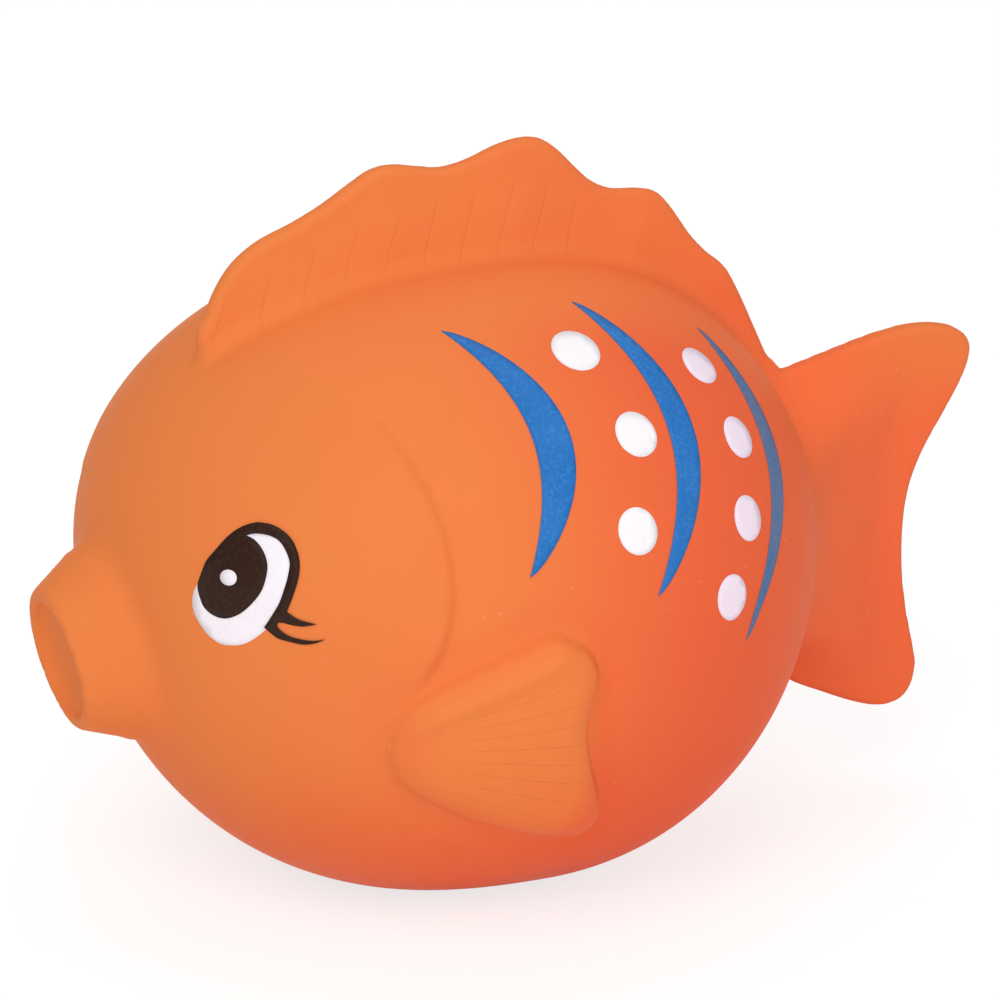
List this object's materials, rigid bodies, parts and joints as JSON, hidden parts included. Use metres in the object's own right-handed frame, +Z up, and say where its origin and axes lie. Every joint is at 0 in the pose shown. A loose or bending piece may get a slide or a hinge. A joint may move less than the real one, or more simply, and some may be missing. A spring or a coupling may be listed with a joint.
{
  "type": "squeaky bath toy fish",
  "caption": "Plump hollow vinyl fish for the bath with a round pouting mouth, wavy back fin and broad tail; squeezing its flanks sounds a reed squeaker in the belly.",
  "frame": {"origin": "on the flat of the belly, below the middle of the length from the lips to the tail's tip", "axes": "+X from the mouth to the tail, +Y to the fish's right side, +Z up"},
  "size_m": [0.1097, 0.0784, 0.0792],
  "materials": {
    "orange_vinyl": "soft satin",
    "blue_print": "printed",
    "white_print": "printed",
    "dark_print": "printed",
    "white_plastic": "moulded",
    "reed_film": "thin film"
  },
  "bodies": {
    "body": {"body_skin": "orange_vinyl", "squeaker_housing": "white_plastic", "reed_bed": "white_plastic", "reed_foot": "reed_film", "reed_clip": "white_plastic", "squeaker_cap": "white_plastic", "left_eye_white": "white_print", "left_eye_black": "dark_print", "left_eye_glint": "white_print", "right_eye_white": "white_print", "right_eye_black": "dark_print", "right_eye_glint": "white_print"},
    "left_flank": {"left_flank": "orange_vinyl", "left_front_crescent": "blue_print", "left_middle_crescent": "blue_print", "left_rear_crescent": "blue_print", "left_front_dots": "white_print", "left_rear_dots": "white_print"},
    "right_flank": {"right_flank": "orange_vinyl", "right_front_crescent": "blue_print", "right_middle_crescent": "blue_print", "right_rear_crescent": "blue_print", "right_front_dots": "white_print", "right_rear_dots": "white_print"},
    "reed": {"reed": "reed_film"}
  },
  "joints": [
    {"name": "left_squeeze", "type": "slide", "parent": "body", "child": "left_flank", "axis": [0, 1, 0], "range_m": [0, 0.009], "stiffness_N_per_m": 800},
    {"name": "right_squeeze", "type": "slide", "parent": "body", "child": "right_flank", "axis": [0, -1, 0], "range_m": [0, 0.009], "stiffness_N_per_m": 800},
    {"name": "reed_flutter", "type": "hinge", "parent": "body", "child": "reed", "pos_m": [-0.0061, 0, 0.0046], "axis": [0, 1, 0], "range_deg": [-4, 8], "stiffness_Nm_per_rad": 0.0005}
  ],
  "couplings": [
    {"joint": "right_squeeze", "follows": "left_squeeze", "ratio": 1}
  ]
}
